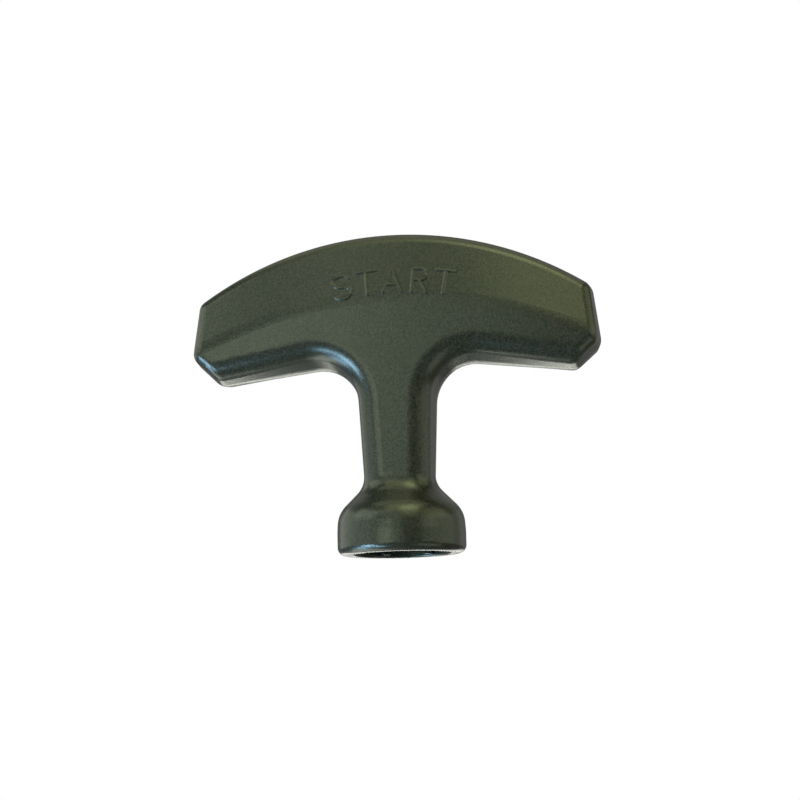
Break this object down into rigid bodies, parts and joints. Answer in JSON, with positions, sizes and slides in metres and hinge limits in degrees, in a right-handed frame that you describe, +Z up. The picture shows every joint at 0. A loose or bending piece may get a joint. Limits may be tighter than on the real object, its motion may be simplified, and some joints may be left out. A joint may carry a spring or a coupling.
{
  "type": "recoil starter handle",
  "caption": "Moulded T handle for a pull-cord starter: curved grip, short stem, rope bore with knot pocket, flared hollow foot.",
  "frame": {"origin": "centre of the foot's rim, in the plane that the handle stands on", "axes": "+Z up the rope bore towards the crown, +X along the wings, -Y towards the lettered front"},
  "size_m": [0.1014, 0.0316, 0.0789],
  "materials": {
    "handle": "dark moulded plastic with a fine grain and a soft sheen"
  },
  "bodies": {
    "root": {"handle": "handle"}
  },
  "joints": []
}
